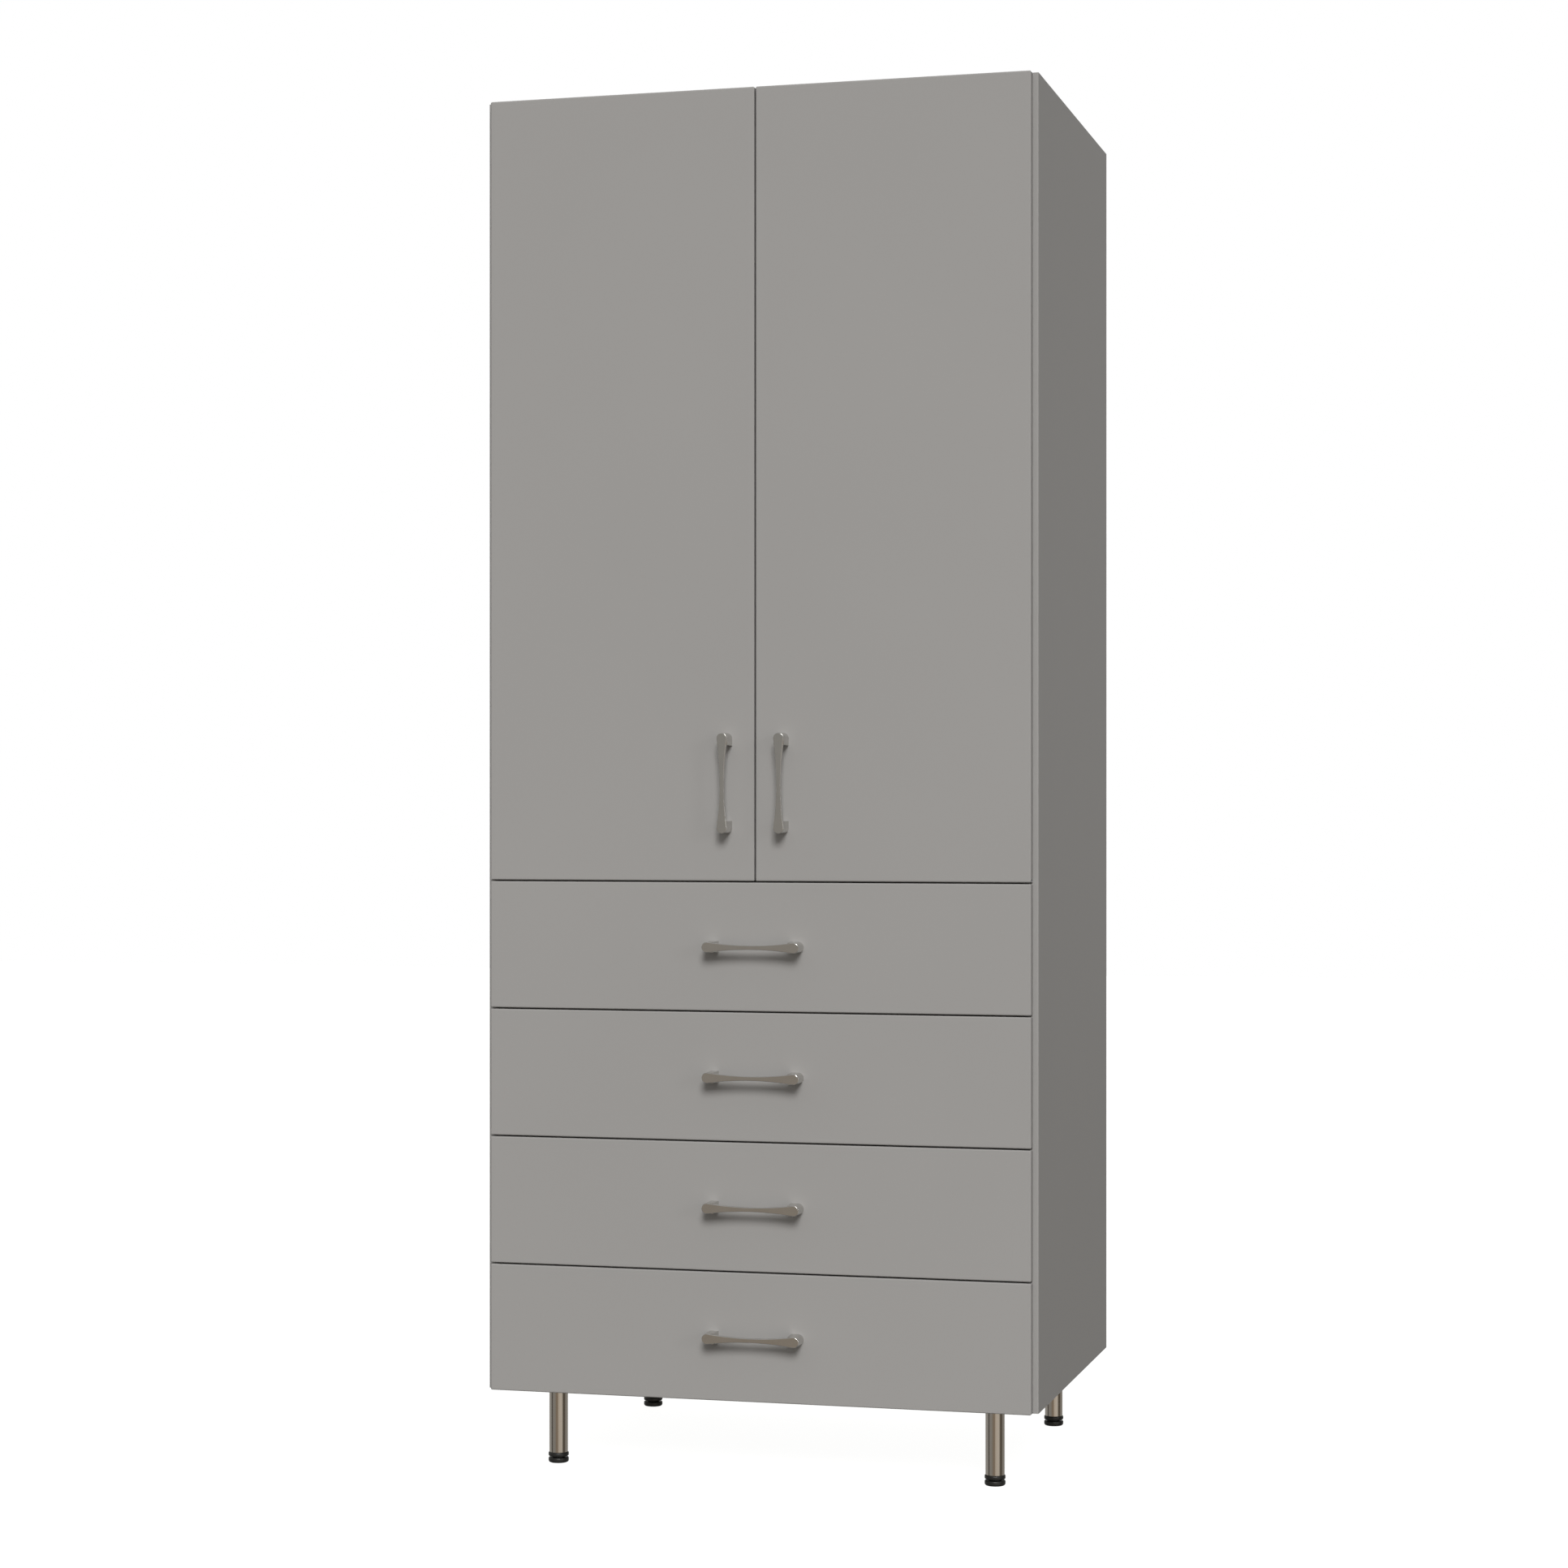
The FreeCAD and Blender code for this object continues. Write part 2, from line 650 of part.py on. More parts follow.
def ball_strip(z, start_y):
    """Straight cage with its balls, in one ball race."""
    x = upright_face - ball_line
    length = ball_count * ball_pitch
    across = (x - cage_width / 2, x + cage_width / 2)
    cage = box((across, (start_y, start_y + length), (z - cage_sheet / 2, z + cage_sheet / 2)))
    spots = [Vector(x, start_y + ball_pitch * (number + 0.5), z) for number in range(ball_count)]
    return cage.fuse([Part.makeSphere(ball / 2, spot) for spot in spots])


def slide_pieces(low):
    """Outer, middle and inner members of one drawer's slides, whose front starts at height low."""
    z = low + box_rise + slide_rise
    outer_half = slide_height / 2
    middle_half = outer_half - slide_sheet - race
    inner_half = middle_half - slide_sheet - race
    middle_web = upright_face - slide_sheet - slide_clear
    inner_mouth = middle_web - slide_sheet - slide_clear
    middle_mouth = box_half + slide_sheet + slide_clear / 2
    outer = slide_member(upright_face, middle_mouth, outer_half, z, 1)
    middle = slide_member(middle_web, middle_mouth, middle_half, z, 1)
    inner = slide_member(box_half, inner_mouth, inner_half, z, -1)
    cage_length = ball_count * ball_pitch
    strips = []
    for way in (-1, 1):
        outer_race = z + way * (outer_half - slide_sheet - race / 2)
        inner_race = z + way * (middle_half - slide_sheet - race / 2)
        strips.append(ball_strip(outer_race, slide_start + slide_length - cage_length))
        strips.append(ball_strip(inner_race, slide_start))
    return both_sides([outer]), both_sides([middle] + strips), both_sides([inner])


def slide_uprights():
    """Channels beside the drawers that carry the slides' outer members."""
    outer = wall_inside - sheet
    channels = []
    first = slide_start + slide_upright_inset
    last = slide_start + slide_length - slide_upright_inset - slide_upright_width
    for y in (first, last):
        line = [(outer, y), (upright_face, y), (upright_face, y + slide_upright_width)]
        line.append((outer, y + slide_upright_width))
        channels.append(folded(line, -1, "xy", z_bottom + sheet, floor_level - sheet - tongue))
    return both_sides(channels)


def drawer(low):
    """One drawer whose front starts at height low."""
    middle = low + drawer_front_height / 2
    centres = [(-handle_pitch / 2, middle), (handle_pitch / 2, middle)]
    z_span = (low, low + drawer_front_height)
    front = list(front_pieces((-half_fronts, half_fronts), z_span, centres))
    tray_low = low + box_rise
    tray_y = (y_liner, y_liner + box_length)
    tray = pan(((-box_half, box_half), tray_y, (tray_low, tray_low + box_height)), bend, 2, 1, box_rim)
    for x, z in centres:
        tray = tray.cut(hole_y(x, z, handle_screw + 2 * screw_play))
    pull = handle()
    pull.rotate(Vector(0, 0, 0), Vector(0, 1, 0), 90)
    pull.translate(Vector(0, y_front, middle))
    return {"front": front, "box": [tray], "handle": [pull],
            "handle_screws": handle_screws(y_liner + sheet, centres)}


# ---- The whole cabinet ----

def build():
    panel = side_panel()
    save("side_panel_right", panel)
    save("side_panel_left", mirrored(panel))
    save("top_panel", body_sheet(z_top, -1, y_body, y_back))
    save("bottom_panel", bottom_panel())
    save("cupboard_floor", body_sheet(floor_level, -1, y_body + lip + touch, y_inside_back))
    save("back_panel", back_panel())
    save("drawer_rails", drawer_rails())

    tubes, plates, plugs, screws = leg_pieces()
    save("leg_tubes", tubes)
    save("leg_plates", plates)
    save("leg_end_plugs", plugs)
    save("leg_screws", screws)
    for name, (x, y) in leg_places().items():
        save("foot_" + name, foot(x, y))

    for name, level in zip(("lower", "middle", "upper"), shelf_levels()):
        save("shelf_" + name, shelf(level))
    save("shelf_uprights", shelf_uprights())
    save("shelf_clips", shelf_clips())
    save("pivot_brackets", both_sides([pivot_bracket(z) for z in tongue_levels()]))
    save("pivot_pins", pivot_pins())
    save("bumpers", bumpers())
    save("door_catch", door_catch())

    for name, pieces in door().items():
        save("right_door_" + name, pieces)
        save("left_door_" + name, [mirrored(piece) for piece in pieces])

    save("slide_uprights", slide_uprights())
    channels = []
    for number in range(1, drawer_count + 1):
        low = z_bottom + (drawer_count - number) * drawer_pitch
        for name, pieces in drawer(low).items():
            save("drawer_%d_%s" % (number, name), pieces)
        outer, middle, inner = slide_pieces(low)
        channels += outer
        save("drawer_%d_slide_middle" % number, middle)
        save("drawer_%d_slide_inner" % number, inner)
    save("slide_channels", channels)


os.makedirs("parts", exist_ok=True)
build()
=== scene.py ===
import math

import bmesh
import bpy
from bpy.props import FloatProperty, FloatVectorProperty, IntProperty, PointerProperty
from mathutils import Matrix, Vector


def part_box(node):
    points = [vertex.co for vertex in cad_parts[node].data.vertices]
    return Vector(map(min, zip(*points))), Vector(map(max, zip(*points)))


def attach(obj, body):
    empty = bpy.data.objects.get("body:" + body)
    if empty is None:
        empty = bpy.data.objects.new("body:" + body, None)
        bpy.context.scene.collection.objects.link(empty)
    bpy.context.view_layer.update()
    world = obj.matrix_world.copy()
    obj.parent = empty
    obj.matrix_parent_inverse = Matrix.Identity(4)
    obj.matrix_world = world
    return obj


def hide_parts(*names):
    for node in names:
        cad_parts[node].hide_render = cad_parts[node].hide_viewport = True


bl_info = {
    "name": "Sheet-Steel Cabinet",
    "version": (1, 0, 0),
    "blender": (4, 5, 0),
    "location": "View3D > Sidebar > Cabinet",
    "description": "Fronts, handles, legs and finishes of a two-door, four-drawer steel cabinet",
    "category": "Object",
}

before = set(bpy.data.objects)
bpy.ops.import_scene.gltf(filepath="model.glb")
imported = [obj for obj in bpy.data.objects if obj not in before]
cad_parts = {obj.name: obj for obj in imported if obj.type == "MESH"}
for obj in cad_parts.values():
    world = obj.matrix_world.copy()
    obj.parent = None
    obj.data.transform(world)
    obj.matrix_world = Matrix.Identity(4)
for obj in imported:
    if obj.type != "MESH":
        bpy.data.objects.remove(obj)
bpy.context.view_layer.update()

MM = 0.001
MERGE = 0.01 * MM          # points nearer than this become one
DRAWERS = range(1, 5)
SIDES = ("left", "right")
CORNERS = ("front_left", "front_right", "rear_left", "rear_right")
FULL_TURN = 2 * math.pi

BACKWARDS = Vector((0, 1, 0))
UP = Vector((0, 0, 1))


# ---- Settings that a user would change ----

def length(name, description, default):
    return FloatProperty(name=name, description=description, default=default,
                         min=0.0, subtype="DISTANCE", unit="LENGTH", precision=5)


def colour(name, description, default):
    return FloatVectorProperty(name=name, description=description, default=default,
                               size=3, min=0.0, max=1.0, subtype="COLOR")


def share(name, description, default):
    return FloatProperty(name=name, description=description, default=default,
                         min=0.0, max=1.0, subtype="FACTOR")


class CabinetFrontSettings(bpy.types.PropertyGroup):
    sheet: length("Sheet", "Thickness of the folded steel sheet", 1.0 * MM)
    fold: length("Fold radius", "Outer radius of the folds round a front", 2.0 * MM)
    rim: length("Return flange", "Width of the flange folded in behind a front", 16.0 * MM)
    liner: length("Liner", "Thickness of the plate that closes a front from behind", 0.8 * MM)
    liner_overlap: length("Liner overlap", "How far the liner reaches under the flange", 6.0 * MM)
    notch_width: length("Notch width", "Corner notch of a door, along the door", 9.5 * MM)
    notch_height: length("Notch height", "Corner notch of a door, up the door", 4.0 * MM)
    notch_skin: length("Notch skin", "Depth of the door left in front of the notch", 1.2 * MM)
    fold_steps: IntProperty(name="Fold steps", description="Facets round one fold", default=5, min=2)


class CabinetHandleSettings(bpy.types.PropertyGroup):
    end_width: length("End width", "Width of the strap at its round ends", 14.8 * MM)
    waist: length("Waist", "Width of the strap at its middle", 6.0 * MM)
    thickness: length("Strap", "Thickness of the strap", 5.0 * MM)
    edge: length("Front edge", "Rounding of the strap's front edge", 0.8 * MM)
    back_edge: length("Back edge", "Rounding of the strap's back edge", 0.3 * MM)
    post_length: length("Post length", "Length of a post along the strap", 17.0 * MM)
    post_step: length("Post step", "How much narrower a post is where it meets the strap", 0.2 * MM)
    post_draft: length("Post draft", "How much wider a post is at its foot, each side", 0.8 * MM)
    arc_steps: IntProperty(name="Arc steps", description="Facets along each arc", default=14, min=4)


class CabinetLegSettings(bpy.types.PropertyGroup):
    wall: length("Tube wall", "Wall of a leg's tube", 1.5 * MM)
    tube_edge: length("Tube edge", "Rounding of the cut ends of the tube", 0.35 * MM)
    weld: length("Weld", "Leg length of the weld bead at the top plate", 2.6 * MM)
    weld_root: length("Weld root", "How far the weld bead reaches into the tube", 0.3 * MM)
    weld_ripple: length("Weld ripple", "Height of the ripples in the weld bead", 0.18 * MM)
    weld_ripples: IntProperty(name="Ripples", description="Ripples round one weld", default=36, min=8)
    ring: length("Foot ring", "Height of the levelling foot's ring", 7.4 * MM)
    ring_bottom: length("Foot rounding", "Rounding under the foot", 3.0 * MM)
    ring_edge: length("Ring rounding", "Rounding of the rings at the groove between them", 1.8 * MM)
    neck: length("Neck", "Radius of the foot's neck", 9.0 * MM)
    neck_height: length("Neck height", "Height of the neck above the ring", 1.3 * MM)
    recess: length("Recess", "Depth of the hollow under the foot", 0.6 * MM)
    stem: length("Stem", "Outer radius of the foot's threaded stem", 4.0 * MM)
    thread_pitch: length("Thread pitch", "Pitch of the stem's thread", 1.25 * MM)
    thread_depth: length("Thread depth", "Depth of the stem's thread", 0.6 * MM)
    collar: length("Collar", "Height of the collar at the bottom of a leg", 6.0 * MM)
    stem_bore: length("Stem bore", "Radius of the bore that the stem runs in", 4.08 * MM)
    play: length("Play", "Play of the end plug in its tube", 0.1 * MM)
    around: IntProperty(name="Facets", description="Facets round a leg", default=72, min=16)


class CabinetFinishSettings(bpy.types.PropertyGroup):
    front_paint: colour("Front paint", "Powder coat of the doors and drawers", (0.305, 0.298, 0.290))
    body_paint: colour("Body paint", "Powder coat of the body", (0.305, 0.298, 0.290))
    leg_steel: colour("Leg steel", "Brushed stainless steel of the legs", (0.60, 0.56, 0.51))
    handle_nickel: colour("Handle nickel", "Satin nickel of the handles", (0.62, 0.61, 0.585))
    zinc_plate: colour("Zinc plate", "Zinc-plated slides, brackets and screws", (0.60, 0.61, 0.63))
    black_plastic: colour("Black plastic", "Moulded feet and end plugs", (0.012, 0.012, 0.011))
    white_nylon: colour("White nylon", "Moulded pivot blocks", (0.74, 0.73, 0.69))
    bumper_rubber: colour("Bumper rubber", "Soft bumpers behind the fronts", (0.045, 0.045, 0.047))
    paint_roughness: share("Paint roughness", "Roughness of the powder coat", 0.58)
    steel_roughness: share("Steel roughness", "Roughness of the brushed legs", 0.15)
    nickel_roughness: share("Nickel roughness", "Roughness of the satin handles", 0.20)


class CabinetStageSettings(bpy.types.PropertyGroup):
    floor: colour("Floor", "Colour of the plain floor", (0.98, 0.98, 0.975))
    floor_reach: length("Floor reach", "Half the width of the floor", 14.0)
    distance: length("Distance", "Camera to the body's front plane", 4.429)
    aside: length("Aside", "Camera to the right of the cabinet's middle", 1.214)
    eye: length("Eye height", "Camera above the floor", 0.945)
    turn: FloatProperty(name="Turn", description="How far the camera turns to the left",
                        default=math.radians(14.87), subtype="ANGLE", unit="ROTATION")
    lens: FloatProperty(name="Lens", description="Focal length in millimetres", default=75.0)
    rise: FloatProperty(name="Rise", description="Upward shift of the lens", default=0.018)
    sun: FloatProperty(name="Key light", description="Strength of the soft key light", default=2.5)
    sun_spread: FloatProperty(name="Key spread", description="Angle that the key light fills",
                              default=math.radians(22.0), subtype="ANGLE", unit="ROTATION")
    edge: FloatProperty(name="Edge light", description="Strength of the low edge light", default=0.22)
    edge_spread: FloatProperty(name="Edge spread", description="Angle that the edge light fills",
                               default=math.radians(12.0), subtype="ANGLE", unit="ROTATION")
    room: FloatProperty(name="Room light", description="Brightness of the room", default=0.85)
    overhead: FloatProperty(name="Overhead", description="Brightness of the ceiling", default=0.52)
    below: FloatProperty(name="Below", description="Brightness from below", default=0.20)
    floor_glow: share("Floor glow", "Light that the floor gives off by itself", 0.98)
    floor_shade: share("Floor shade", "Part of the floor's colour that takes light and shadow", 0.2)


class CabinetSettings(bpy.types.PropertyGroup):
    fronts: PointerProperty(type=CabinetFrontSettings)
    handles: PointerProperty(type=CabinetHandleSettings)
    legs: PointerProperty(type=CabinetLegSettings)
    finishes: PointerProperty(type=CabinetFinishSettings)
    stage: PointerProperty(type=CabinetStageSettings)


# ---- Shader maths ----

class Link:
    """One output socket of a material's nodes; arithmetic on it adds Math nodes."""

    def __init__(self, shader, socket):
        self.shader = shader
        self.socket = socket

    def math(self, operation, *values):
        return self.shader.node("ShaderNodeMath", {"operation": operation}, values)

    def __add__(self, other):
        return self.math("ADD", self, other)

    def __sub__(self, other):
        return self.math("SUBTRACT", self, other)

    def __rsub__(self, other):
        return self.math("SUBTRACT", other, self)

    def __mul__(self, other):
        return self.math("MULTIPLY", self, other)

    def __truediv__(self, other):
        return self.math("DIVIDE", self, other)

    def __rtruediv__(self, other):
        return self.math("DIVIDE", other, self)

    __radd__ = __add__
    __rmul__ = __mul__

    def clamped(self):
        return self.math("MINIMUM", self.math("MAXIMUM", self, 0.0), 1.0)


class Nodes:
    """Node tree under construction."""

    def __init__(self, tree):
        self.tree = tree

    def node(self, kind, settings=None, inputs=(), output=0):
        """Adds any node: its settings first, then a value or a link for each of its sockets."""
        made = self.tree.nodes.new(kind)
        for key, value in (settings or {}).items():
            setattr(made, key, value)
        pairs = inputs.items() if isinstance(inputs, dict) else enumerate(inputs)
        for socket, value in pairs:
            if isinstance(value, Link):
                self.tree.links.new(value.socket, made.inputs[socket])
            else:
                made.inputs[socket].default_value = value
        return Link(self, made.outputs[output])

    def ramp(self, factor, stops):
        """Colour that follows a factor through (position, colour) stops."""
        made = self.node("ShaderNodeValToRGB", {}, [factor])
        elements = made.socket.node.color_ramp.elements
        while len(elements) < len(stops):
            elements.new(1.0)
        for element, (position, shade) in zip(elements, stops):
            element.position = position
            element.color = tint(shade, 1.0)
        return made

    def mix(self, factor, first, second):
        """Colour between two colours."""
        values = {0: factor, 6: first, 7: second}
        return self.node("ShaderNodeMix", {"data_type": "RGBA"}, values, output=2)


class Shader(Nodes):
    """A Principled material under construction."""

    def __init__(self, name):
        self.material = bpy.data.materials.new(name)
        self.material.use_nodes = True
        super().__init__(self.material.node_tree)
        self.surface = next(n for n in self.tree.nodes if n.type == "BSDF_PRINCIPLED")
        self.place = self.node("ShaderNodeTexCoord", output="Object")

    def set(self, **values):
        """Values or links for the surface's own sockets."""
        for key, value in values.items():
            socket = self.surface.inputs[key.replace("_", " ").title().replace("Ior", "IOR")]
            if isinstance(value, Link):
                self.tree.links.new(value.socket, socket)
            else:
                socket.default_value = value

    def noise(self, scale, detail, stretch=(1.0, 1.0, 1.0)):
        """Noise between 0 and 1 with scale features to a metre, drawn out along an axis."""
        place = self.node("ShaderNodeMapping", {}, {"Vector": self.place, "Scale": stretch})
        values = {"Vector": place, "Scale": scale, "Detail": detail}
        return self.node("ShaderNodeTexNoise", {}, values)

    def bump(self, height, strength, distance):
        values = {"Height": height, "Strength": strength, "Distance": distance}
        return self.node("ShaderNodeBump", {}, values)


def tint(shade, factor):
    """A colour made lighter or darker, as the four numbers of a colour socket."""
    return tuple(part * factor for part in shade) + (1.0,)


# ---- Finishes ----

def powder_coat(name, shade, roughness):
    """Satin powder coat: fine orange peel, faint clouds in the film and a little dust."""
    paint = Shader(name)
    clouds = paint.noise(2.2, 3.0)
    grain = paint.noise(1400.0, 1.0)
    film = (clouds - 0.5) * 0.8 + (grain - 0.5) * 0.35 + 0.5
    peel = paint.noise(420.0, 2.0) + paint.noise(1500.0, 1.0) * 0.35
    paint.set(
        base_color=paint.mix(film.clamped(), tint(shade, 0.955), tint(shade, 1.045)),
        roughness=(roughness + (clouds - 0.5) * 0.08 + (grain - 0.5) * 0.06).clamped(),
        specular_ior_level=0.12,
        normal=paint.bump(peel, 0.16, 0.05 * MM),
    )
    return paint.material


def brushed_steel(name, shade, roughness):
    """Stainless tube brushed along its length, with a few longer scratches."""
    steel = Shader(name)
    lines = steel.noise(2600.0, 2.0, stretch=(1.0, 1.0, 0.012))
    streaks = steel.noise(420.0, 2.0, stretch=(1.0, 1.0, 0.03))
    scuffs = steel.noise(60.0, 4.0)
    shine = (lines * 0.6 + streaks * 0.4).clamped()
    steel.set(
        base_color=steel.mix(shine, tint(shade, 0.82), tint(shade, 1.12)),
        metallic=1.0,
        roughness=(roughness + (lines - 0.5) * 0.16 + (scuffs - 0.5) * 0.10).clamped(),
        normal=steel.bump(lines, 0.22, 0.03 * MM),
    )
    return steel.material


def satin_nickel(name, shade, roughness):
    """Plated casting, tumbled to an even satin with the faintest grain."""
    nickel = Shader(name)
    grain = nickel.noise(1900.0, 2.0)
    clouds = nickel.noise(70.0, 3.0)
    film = (grain * 0.4 + clouds * 0.6).clamped()
    nickel.set(
        base_color=nickel.mix(film, tint(shade, 0.95), tint(shade, 1.05)),
        metallic=1.0,
        roughness=(roughness + (grain - 0.5) * 0.06 + (clouds - 0.5) * 0.05).clamped(),
        normal=nickel.bump(grain, 0.05, 0.02 * MM),
    )
    return nickel.material


def zinc_plate(name, shade):
    """Bright zinc plate with its cloudy crystals and a bluish pale film."""
    zinc = Shader(name)
    crystals = zinc.node("ShaderNodeTexVoronoi", {"feature": "F1"},
                         {"Vector": zinc.place, "Scale": 210.0}, output="Color")
    tone = zinc.node("ShaderNodeSeparateColor", {}, {"Color": crystals})
    clouds = zinc.noise(38.0, 3.0)
    film = (tone * 0.35 + clouds * 0.65).clamped()
    zinc.set(
        base_color=zinc.mix(film, tint(shade, 0.84), tint(shade, 1.14)),
        metallic=1.0,
        roughness=(0.30 + clouds * 0.16 + (tone - 0.5) * 0.06).clamped(),
        normal=zinc.bump(zinc.noise(900.0, 2.0), 0.12, 0.03 * MM),
    )
    return zinc.material


def moulded_plastic(name, shade, roughness, texture):
    """Injection-moulded plastic with a spark-eroded texture."""
    plastic = Shader(name)
    grain = plastic.noise(1600.0, 2.0)
    clouds = plastic.noise(45.0, 2.0)
    plastic.set(
        base_color=plastic.mix(clouds, tint(shade, 0.85), tint(shade, 1.18)),
        roughness=(roughness + (grain - 0.5) * 0.14 + (clouds - 0.5) * 0.08).clamped(),
        specular_ior_level=0.45,
        normal=plastic.bump(grain, texture, 0.05 * MM),
    )
    return plastic.material


made_finishes = {}


def finish(name):
    """The material of one of the record's finishes, made when it is first asked for."""
    if name in made_finishes:
        return made_finishes[name]
    settings = bpy.context.scene.cabinet.finishes
    shade = tuple(getattr(settings, name))
    makers = {
        "front_paint": lambda: powder_coat(name, shade, settings.paint_roughness),
        "body_paint": lambda: powder_coat(name, shade, settings.paint_roughness),
        "leg_steel": lambda: brushed_steel(name, shade, settings.steel_roughness),
        "handle_nickel": lambda: satin_nickel(name, shade, settings.nickel_roughness),
        "zinc_plate": lambda: zinc_plate(name, shade),
        "black_plastic": lambda: moulded_plastic(name, shade, 0.40, 0.20),
        "white_nylon": lambda: moulded_plastic(name, shade, 0.48, 0.12),
        "bumper_rubber": lambda: moulded_plastic(name, shade, 0.72, 0.30),
    }
    made_finishes[name] = makers[name]()
    return made_finishes[name]


# ---- Making pieces ----

def finish_nodes(name, nodes):
    """Gives nodes of the frame one finish."""
    for node in nodes:
        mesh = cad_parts[node].data
        mesh.materials.clear()
        mesh.materials.append(finish(name))


def piece(name, shape, finish_name, body, nodes, crease=35.0):
    """Object made from a bmesh, which rides on a body and stands for nodes of the frame."""
    mesh = bpy.data.meshes.new(name)
    shape.to_mesh(mesh)
    shape.free()
    mesh.materials.append(finish(finish_name))
    mesh.shade_smooth()
    mesh.set_sharp_from_angle(angle=math.radians(crease))
    made = bpy.data.objects.new(name, mesh)
    bpy.context.scene.collection.objects.link(made)
    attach(made, body)
    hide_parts(*nodes)
    return made


def thicken(made, sheet):
    """Gives a shell its wall, inwards."""
    wall = made.modifiers.new("Sheet", "SOLIDIFY")
    wall.thickness = sheet
    wall.offset = -1.0
    wall.use_even_offset = True
    flatten(made)


def flatten(made):
    """Keeps the flat faces of a piece flat in the light."""
    even = made.modifiers.new("Flat faces", "WEIGHTED_NORMAL")
    even.keep_sharp = True
    even.weight = 100


def block(low, high):
    """Block between two corners."""
    shape = bmesh.new()
    bmesh.ops.create_cube(shape, size=1.0)
    bmesh.ops.scale(shape, vec=high - low, verts=shape.verts)
    bmesh.ops.translate(shape, vec=(low + high) / 2, verts=shape.verts)
    return shape


def round_off(shape, edges, radius, steps):
    bmesh.ops.bevel(shape, geom=edges, offset=radius, offset_type="OFFSET", segments=steps,
                    profile=0.5, affect="EDGES", material=-1, clamp_overlap=True)


def corner_edges(shape, least=0.5):
    """Edges where two faces meet at a real angle."""
    return [edge for edge in shape.edges
            if len(edge.link_faces) == 2 and edge.calc_face_angle() > least]


def lathe(outline, centre, steps, closed=False):
    """Turns an outline of (radius, height, rounding) corners about an upright axis."""
    shape = bmesh.new()
    verts = [shape.verts.new((centre.x + radius, centre.y, height)) for radius, height, _ in outline]
    pairs = list(zip(verts, verts[1:])) + ([(verts[-1], verts[0])] if closed else [])
    for pair in pairs:
        shape.edges.new(pair)
    for vert, (_, _, rounding) in zip(verts, outline):
        if rounding > 0:
            bmesh.ops.bevel(shape, geom=[vert], offset=rounding, segments=6, profile=0.5,
                            affect="VERTICES", material=-1)
    bmesh.ops.spin(shape, geom=shape.verts[:] + shape.edges[:], cent=centre, axis=UP,
                   angle=FULL_TURN, steps=steps, use_merge=True)
    bmesh.ops.remove_doubles(shape, verts=shape.verts, dist=0.002 * MM)
    bmesh.ops.recalc_face_normals(shape, faces=shape.faces)
    return shape


# ---- Doors and drawer fronts ----

def front_shell(low, high, settings):
    """Open shell of a front: its face, four folded sides and the flange behind."""
    shape = block(low, high)
    back = max(shape.faces, key=lambda face: face.normal.dot(BACKWARDS))
    bmesh.ops.inset_region(shape, faces=[back], thickness=settings.rim, use_even_offset=True)
    bmesh.ops.delete(shape, geom=[back], context="FACES")
    round_off(shape, corner_edges(shape), settings.fold, settings.fold_steps)
    return shape


def cut_notch(shape, low, high):
    """Cuts the corner of a door's shell away, between two corners of a box."""
    for axis in range(3):
        normal = Vector((0, 0, 0))
        normal[axis] = 1.0
        for level in (low[axis], high[axis]):
            bmesh.ops.bisect_plane(shape, geom=shape.verts[:] + shape.edges[:] + shape.faces[:],
                                   plane_co=normal * level, plane_no=normal, dist=0.001 * MM)
    inside = []
    for face in shape.faces:
        spot = face.calc_center_median()
        if all(low[axis] < spot[axis] < high[axis] for axis in range(3)):
            inside.append(face)
    bmesh.ops.delete(shape, geom=inside, context="FACES")


def door_notches(low, high, side, settings):
    """Boxes of the two corner notches round a door's pivots."""
    spill = settings.sheet
    if side == "right":
        left, right = high.x - settings.notch_width, high.x + spill
    else:
        left, right = low.x - spill, low.x + settings.notch_width
    front = low.y + settings.notch_skin
    for start, stop in ((low.z - spill, low.z + settings.notch_height),
                        (high.z - settings.notch_height, high.z + spill)):
        yield Vector((left, front, start)), Vector((right, high.y + spill, stop))


class CABINET_OT_doors(bpy.types.Operator):
    """Folds the two door skins from sheet and finishes their liners"""

    bl_idname = "cabinet.doors"
    bl_label = "Doors"

    def execute(self, context):
        settings = context.scene.cabinet.fronts
        for side in SIDES:
            low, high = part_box(side + "_door_skin")
            shape = front_shell(low, high, settings)
            for notch in door_notches(low, high, side, settings):
                cut_notch(shape, *notch)
            shell = piece(side + "_door_shell", shape, "front_paint", side + "_door",
                          [side + "_door_skin"])
            thicken(shell, settings.sheet)
            finish_nodes("front_paint", [side + "_door_liner"])
            finish_nodes("white_nylon", [side + "_door_pivot_blocks"])
            finish_nodes("zinc_plate", [side + "_door_handle_screws"])
        return {"FINISHED"}


class CABINET_OT_drawer_fronts(bpy.types.Operator):
    """Folds the drawer fronts from sheet and closes each with its liner"""

    bl_idname = "cabinet.drawer_fronts"
    bl_label = "Drawer Fronts"

    def execute(self, context):
        settings = context.scene.cabinet.fronts
        inset = settings.rim - settings.liner_overlap
        for number in DRAWERS:
            drawer = "drawer_%d" % number
            low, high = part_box(drawer + "_front")
            shell = piece(drawer + "_front_shell", front_shell(low, high, settings), "front_paint",
                          drawer, [drawer + "_front"])
            thicken(shell, settings.sheet)
            plate_back = high.y - settings.sheet
            plate = block(Vector((low.x + inset, plate_back - settings.liner, low.z + inset)),
                          Vector((high.x - inset, plate_back, high.z - inset)))
            round_off(plate, plate.edges[:], settings.liner / 4, 2)
            liner = piece(drawer + "_front_liner", plate, "front_paint", drawer,
                          [drawer + "_front"])
            flatten(liner)
        return {"FINISHED"}


# ---- Handles ----

